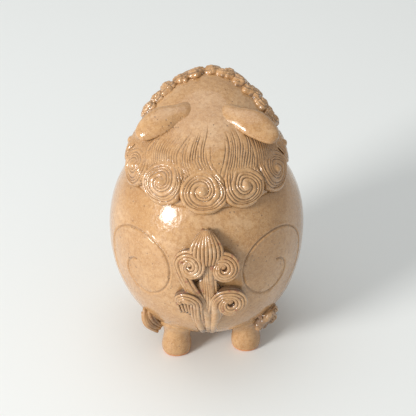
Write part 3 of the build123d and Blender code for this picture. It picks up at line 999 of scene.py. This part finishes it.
class CENSER_OT_face(bpy.types.Operator):
    """Model the muzzle, jaw, nose, eyes and brows"""
    bl_idname = "censer.face"
    bl_label = "Face"

    def execute(self, context):
        self.muzzle()
        self.jaw()
        self.nose()
        for name, side in SIDES.items():
            self.eye(name, side)
            self.brow(name, side)
        for node in ("tongue", "fangs"):
            materials = bpy.data.objects[node].data.materials
            materials.clear()
            materials.append(bpy.data.materials["Face glaze"])
        return {"FINISHED"}

    def eye(self, name, side):
        """A bulging eye with a drilled pupil and a raised lid."""
        across, level, radius, pupil = 13.5, 149.5, 4.9, 1.5
        place = Vector((side * across, head_front(across, level) + 0.6, level))
        bm = bmesh.new()
        rounded_lump(bm, place, (radius, radius, radius), 40)
        layer = pool_and_shade_layer(bm)
        for vert in bm.verts:
            local = vert.co - place
            gap = hypot(local.x, local.z)
            # The drilled pupil is pushed in and painted with the darkest shade.
            if local.y < 0 and gap < pupil:
                vert.co.y += 1.3 * (1 - smooth(0.9, pupil, gap))
                vert[layer] = 1.0
        lid = [(place + Vector((5.5 * cos(a), -2.2 + 0.5 * cos(2 * a), radius * sin(a))), 1.15)
               for a in (2 * pi * k / 24 for k in range(25))]
        join_tubes(bm, [lid])
        self.keep(bm, "bulging_eye_" + name, ["eye_" + name])

    def brow(self, name, side):
        """A brow of three strands side by side."""
        strands = []
        for lane in range(3):
            points = []
            for t in (k / 8 for k in range(9)):
                x = side * (4.5 + 18.5 * t)
                z = 155.6 + 2.2 * sin(pi * t) - 1.5 * t + lane * 1.7 - 1.7
                out = 1.4 + 1.2 * sin(pi * t) - abs(lane - 1) * 0.5
                points.append((Vector((x, head_front(abs(x), min(z, 160)) - out, z)),
                               0.9 + 0.65 * sin(pi * t)))
            strands.append(points)
        bm = bmesh.new()
        join_tubes(bm, strands)
        layer = pool_and_shade_layer(bm)
        for vert in bm.verts:
            vert[layer] = 0.3
        self.keep(bm, "rolled_brow_" + name, ["brow_" + name])

    def muzzle(self):
        """Two cheeks of the muzzle, its bridge and the root of the nose."""
        bm = bmesh.new()
        for side in SIDES.values():
            rounded_lump(bm, Vector((side * 8.2, -54.5, 140.2)), (9.2, 10.2, 6.4), 36, 0.88)
        rounded_lump(bm, Vector((0, -50, 142.5)), (12.0, 14.0, 6.2), 40, 0.8)
        rounded_lump(bm, Vector((0, -47, 147.0)), (5.2, 9.0, 5.0), 32)
        self.keep(bm, "broad_muzzle", ["muzzle"])

    def jaw(self):
        """The lower jaw with a raised lip."""
        bm = bmesh.new()
        rounded_lump(bm, Vector((0, -47.5, 122.6)), (13.2, 13.4, 2.9), 44, 0.72)
        lip = [(Vector((12.2 * cos(a), -46.0 + 13.6 * sin(a), 125.2)), 1.25)
               for a in (pi + pi * k / 20 for k in range(21))]
        join_tubes(bm, [lip])
        self.keep(bm, "lower_lip", ["lower_jaw"])

    def nose(self):
        """The tip of the nose and two drilled nostrils."""
        bm = bmesh.new()
        rounded_lump(bm, Vector((0, -63.2, 147.0)), (4.6, 4.9, 4.2), 32, 0.9)
        nostril = 1.9
        for side in SIDES.values():
            place = Vector((side * 5.4, -62.4, 145.8))
            for vert in rounded_lump(bm, place, (4.0, 4.4, 3.5), 32):
                gap = hypot(vert.co.x - place.x, vert.co.z - place.z)
                if vert.co.y < place.y and gap < nostril:
                    vert.co.y += 2.6 * (1 - smooth(0.8, nostril, gap))
        self.keep(bm, "broad_nose", ["nose"])

    def keep(self, bm, name, nodes):
        """Finish a piece of the face."""
        pool_and_shade_layer(bm)
        finish_piece(bm, name, COVER, nodes, "face_glaze")


# ---------------------------------------------------------------- materials

BUMP_DEPTH = 0.00036


def new_group(name, sockets):
    """A shader node group with its sockets, and its input and output nodes."""
    tree = bpy.data.node_groups.new(name, "ShaderNodeTree")
    for label, direction, kind, default in sockets:
        socket = tree.interface.new_socket(name=label, in_out=direction, socket_type=kind)
        if default is not None:
            socket.default_value = default
    return tree, tree.nodes.new("NodeGroupInput"), tree.nodes.new("NodeGroupOutput")


def feed(tree, socket, value):
    """Link a socket to another socket, or give it a number or a colour."""
    if hasattr(value, "links"):
        tree.links.new(value, socket)
    elif isinstance(value, (int, float)):
        socket.default_value = value
    else:
        socket.default_value = (*value, 1.0)


def mix_colour(tree, factor, a, b):
    """The colour between a and b: a at factor 0, b at factor 1."""
    node = tree.nodes.new("ShaderNodeMix")
    node.data_type = "RGBA"
    for index, value in ((0, factor), (6, a), (7, b)):
        feed(tree, node.inputs[index], value)
    return node.outputs[2]


def ramp(tree, source, low, high):
    """A smooth 0 to 1 mask of a value between two levels."""
    node = tree.nodes.new("ShaderNodeMapRange")
    node.interpolation_type = "SMOOTHSTEP"
    for label, value in (("Value", source), ("From Min", low), ("From Max", high)):
        feed(tree, node.inputs[label], value)
    return node.outputs["Result"]


def calc(tree, operation, a, b):
    """Arithmetic on two sockets or numbers."""
    node = tree.nodes.new("ShaderNodeMath")
    node.operation = operation
    feed(tree, node.inputs[0], a)
    feed(tree, node.inputs[1], b)
    return node.outputs[0]


def noise_at(tree, vector, scale, detail=3.0, roughness=0.5):
    """Cloudy noise, with its scale in features to a metre."""
    node = tree.nodes.new("ShaderNodeTexNoise")
    for label, value in (("Vector", vector), ("Scale", scale), ("Detail", detail),
                         ("Roughness", roughness)):
        feed(tree, node.inputs[label], value)
    return node.outputs["Fac"]


def glaze_group():
    """Speckled buff glaze: colour, roughness and height over the clay, with pooled glaze and painted
    shade in the cuts.
    """
    c = colours()
    tree, source, sink = new_group("Speckled glaze", [
        ("Vector", "INPUT", "NodeSocketVector", None),
        ("Pool and shade mask", "INPUT", "NodeSocketFloat", 0.0),
        ("Milk", "INPUT", "NodeSocketFloat", 0.5),
        ("Pool and shade strength", "INPUT", "NodeSocketFloat", 0.6),
        ("Rust", "INPUT", "NodeSocketFloat", 0.0),
        ("Color", "OUTPUT", "NodeSocketColor", None),
        ("Roughness", "OUTPUT", "NodeSocketFloat", None),
        ("Height", "OUTPUT", "NodeSocketFloat", None)])
    place, pool_and_shade_mask = source.outputs["Vector"], source.outputs["Pool and shade mask"]

    def times(a, b):
        """The product of two masks or numbers."""
        return calc(tree, "MULTIPLY", a, b)

    def patches(low, high, *noise_values):
        """A mask of patches where the noise lies above a level."""
        return ramp(tree, noise_at(tree, place, *noise_values), low, high)

    grain = noise_at(tree, place, 420.0, 4.0, 0.7)
    base = mix_colour(tree, patches(0.38, 0.66, 38.0, 4.0, 0.55), c.glaze_warm, c.glaze)
    base = mix_colour(tree, 0.42, c.glaze, base)
    milk = times(patches(0.5, 0.72, 75.0), source.outputs["Milk"])
    base = mix_colour(tree, milk, base, c.glaze_milk)
    mottled = mix_colour(tree, times(ramp(tree, grain, 0.42, 0.62), 0.6), base, c.glaze_warm)
    mottled = mix_colour(tree, times(patches(0.5, 0.66, 1400.0, 2.0, 0.6), 0.4), mottled,
                         c.glaze_milk)
    cells = tree.nodes.new("ShaderNodeTexVoronoi")
    feed(tree, cells.inputs["Vector"], place)
    feed(tree, cells.inputs["Scale"], 330.0)
    dots = calc(tree, "SUBTRACT", 1.0, ramp(tree, cells.outputs["Distance"], 0.08, 0.2))
    fleck = times(dots, patches(0.5, 0.58, 150.0, 2.0))
    speckled = mix_colour(tree, times(fleck, 0.7), mottled, c.fleck)
    # Pooled glaze darkens the cuts and carries painted shade there; the deepest cuts get painted
    # shade close to black.
    pooled_and_shaded = mix_colour(tree, times(ramp(tree, pool_and_shade_mask, 0.05, 0.6), source.outputs["Pool and shade strength"]),
                        speckled, c.pool)
    deep = mix_colour(tree, times(ramp(tree, pool_and_shade_mask, 0.62, 1.0), 0.72), pooled_and_shaded, c.painted_crevice_shade)
    rust = times(patches(0.6, 0.68, 260.0), source.outputs["Rust"])
    feed(tree, sink.inputs["Color"], mix_colour(tree, rust, deep, c.rust))
    rough = calc(tree, "ADD", times(grain, 0.16), 0.15)
    feed(tree, sink.inputs["Roughness"], calc(tree, "ADD", rough, times(milk, 0.15)))
    peel = times(noise_at(tree, place, 210.0, 2.0), 0.8)
    height = calc(tree, "ADD", peel, times(grain, 0.3))
    feed(tree, sink.inputs["Height"], calc(tree, "SUBTRACT", height, times(fleck, 0.5)))


def bare_sole(tree, place, colour, rough, coat):
    """Bare clay at the foot of a leg: the new colour, roughness and coat."""
    split = tree.nodes.new("ShaderNodeSeparateXYZ")
    feed(tree, split.inputs[0], place)
    uneven = calc(tree, "MULTIPLY", noise_at(tree, place, 160.0), 0.0012)
    level = calc(tree, "SUBTRACT", split.outputs["Z"], uneven)
    bare = calc(tree, "SUBTRACT", 1.0, ramp(tree, level, 0.0008, 0.0018))
    return (mix_colour(tree, bare, colour, colours().clay),
            calc(tree, "ADD", rough, calc(tree, "MULTIPLY", bare, 0.5)),
            calc(tree, "MULTIPLY", calc(tree, "SUBTRACT", 1.0, bare), coat))


def glaze_material(name, milk, pool_and_shade_strength, rust=0.0, coat=0.55, sole=False):
    """A glossy glaze over speckled clay, pooled and painted with shade where the clay is cut."""
    material = bpy.data.materials.new(name)
    material.use_nodes = True
    tree = material.node_tree
    shader = tree.nodes["Principled BSDF"]
    place = tree.nodes.new("ShaderNodeTexCoord").outputs["Object"]
    pool_and_shade_mask = tree.nodes.new("ShaderNodeAttribute")
    pool_and_shade_mask.attribute_name = "pool_and_shade_mask"
    group = tree.nodes.new("ShaderNodeGroup")
    group.node_tree = bpy.data.node_groups["Speckled glaze"]
    for label, value in (("Vector", place), ("Pool and shade mask", pool_and_shade_mask.outputs["Fac"]), ("Milk", milk),
                         ("Pool and shade strength", pool_and_shade_strength), ("Rust", rust)):
        feed(tree, group.inputs[label], value)
    colour, rough = group.outputs["Color"], group.outputs["Roughness"]
    if sole:
        colour, rough, coat = bare_sole(tree, place, colour, rough, coat)
    relief = tree.nodes.new("ShaderNodeBump")
    for label, value in (("Strength", 1.0), ("Distance", BUMP_DEPTH),
                         ("Height", group.outputs["Height"])):
        feed(tree, relief.inputs[label], value)
    for label, value in (("Base Color", colour), ("Roughness", rough), ("IOR", 1.5),
                         ("Coat Weight", coat), ("Coat Roughness", 0.07),
                         ("Normal", relief.outputs["Normal"])):
        feed(tree, shader.inputs[label], value)


class CENSER_OT_materials(bpy.types.Operator):
    """Mix the glazes and the floor's paint"""
    bl_idname = "censer.materials"
    bl_label = "Glazes"

    def execute(self, context):
        glaze_group()
        glaze_material("Pot glaze", milk=0.35, pool_and_shade_strength=0.8)
        glaze_material("Head glaze", milk=0.35, pool_and_shade_strength=0.85)
        glaze_material("Carved glaze", milk=0.5, pool_and_shade_strength=0.85)
        glaze_material("Tail glaze", milk=0.8, pool_and_shade_strength=0.9, rust=0.55)
        glaze_material("Leg glaze", milk=0.15, pool_and_shade_strength=0.6, coat=0.3, sole=True)
        glaze_material("Face glaze", milk=0.4, pool_and_shade_strength=0.8)
        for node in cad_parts:
            target = bpy.data.objects.get(node)
            if target and not target.data.materials:
                target.data.materials.append(bpy.data.materials["Face glaze"])
        floor = bpy.data.materials.new("Floor paint")
        floor.use_nodes = True
        tree = floor.node_tree
        shader = tree.nodes["Principled BSDF"]
        place = tree.nodes.new("ShaderNodeTexCoord").outputs["Object"]
        tint = mix_colour(tree, calc(tree, "MULTIPLY", noise_at(tree, place, 3.0), 0.06),
                          colours().floor, colours().floor * 0.9)
        feed(tree, shader.inputs["Base Color"], tint)
        feed(tree, shader.inputs["Roughness"], 0.55)
        return {"FINISHED"}


# ---------------------------------------------------------------- stage

FLOOR_REACH, LIGHT_AIM = 6.0, 0.08


class CENSER_OT_stage(bpy.types.Operator):
    """Lay the floor, the soft light and the camera"""
    bl_idname = "censer.stage"
    bl_label = "Stage"

    def execute(self, context):
        s = context.scene.censer_stage
        bm = bmesh.new()
        bmesh.ops.create_grid(bm, x_segments=2, y_segments=2, size=FLOOR_REACH)
        mesh = bpy.data.meshes.new("studio_floor")
        bm.to_mesh(mesh)
        bm.free()
        mesh.materials.append(bpy.data.materials["Floor paint"])
        floor = bpy.data.objects.new("studio_floor", mesh)
        context.scene.collection.objects.link(floor)
        tilt = radians(s.elevation)
        back = Vector((0.0, cos(tilt), sin(tilt)))
        upward = Vector((0.0, -sin(tilt), cos(tilt)))
        middle, above = Vector((-0.0009, 0.0, 0.079)), 0.0068
        target = middle + upward * above
        data = bpy.data.cameras.new("camera")
        data.lens = s.lens
        camera = bpy.data.objects.new("camera", data)
        camera.location = target + back * s.distance
        camera.rotation_euler = back.to_track_quat("Z", "Y").to_euler()
        context.scene.collection.objects.link(camera)
        context.scene.camera = camera
        self.light("key", (1.58, 1.32, 0.98), 0.7, s.key, (1.0, 0.985, 0.96))
        self.light("fill", (0.2, -0.3, 1.5), 1.4, s.fill, (0.96, 0.98, 1.0))
        world = bpy.data.worlds.new("soft sky")
        world.use_nodes = True
        background = world.node_tree.nodes["Background"]
        background.inputs["Color"].default_value = (0.99, 1.0, 0.985, 1.0)
        background.inputs["Strength"].default_value = s.sky
        context.scene.world = world
        context.scene.view_settings.view_transform = "Standard"
        return {"FINISHED"}

    def light(self, name, place, size, power, colour):
        """A round soft light in metres and watts, aimed at the middle of the pot."""
        data = bpy.data.lights.new(name, "AREA")
        data.shape = "DISK"
        data.size = size
        data.energy = power
        data.color = colour
        lamp = bpy.data.objects.new(name, data)
        lamp.location = place
        aim = Vector(place) - Vector((0, 0, LIGHT_AIM))
        lamp.rotation_euler = aim.to_track_quat("Z", "Y").to_euler()
        bpy.context.scene.collection.objects.link(lamp)


class CENSER_PT_panel(bpy.types.Panel):
    """Lists the censer's pieces"""
    bl_idname = "CENSER_PT_panel"
    bl_label = "Lion-dog censer"
    bl_space_type = "VIEW_3D"
    bl_region_type = "UI"
    bl_category = "Censer"

    def draw(self, context):
        for operator in OPERATORS:
            self.layout.operator(operator.bl_idname)
        for group in ("censer_pot", "censer_head", "censer_colours", "censer_stage"):
            box = self.layout.box()
            settings = getattr(context.scene, group)
            for name in settings.bl_rna.properties.keys():
                if name not in ("rna_type", "name"):
                    box.prop(settings, name)


OPERATORS = (CENSER_OT_materials, CENSER_OT_pot, CENSER_OT_head, CENSER_OT_mane, CENSER_OT_legs,
             CENSER_OT_tufts, CENSER_OT_tail, CENSER_OT_ruff, CENSER_OT_ears, CENSER_OT_face,
             CENSER_OT_stage)
GROUPS = {"censer_pot": CENSER_PG_pot, "censer_head": CENSER_PG_head,
          "censer_colours": CENSER_PG_colours, "censer_stage": CENSER_PG_stage}


def register():
    """Add the sizes, the operators and the panel to Blender."""
    for item in (*GROUPS.values(), *OPERATORS, CENSER_PT_panel):
        bpy.utils.register_class(item)
    for name, group in GROUPS.items():
        setattr(bpy.types.Scene, name, PointerProperty(type=group))


def unregister():
    """Take the sizes, the operators and the panel out again."""
    for name in GROUPS:
        delattr(bpy.types.Scene, name)
    for item in reversed((*GROUPS.values(), *OPERATORS, CENSER_PT_panel)):
        bpy.utils.unregister_class(item)


def main():
    """Make every piece in turn."""
    register()
    for operator in OPERATORS:
        getattr(bpy.ops.censer, operator.bl_idname.split(".")[1])()


if __name__ == "__main__":
    main()
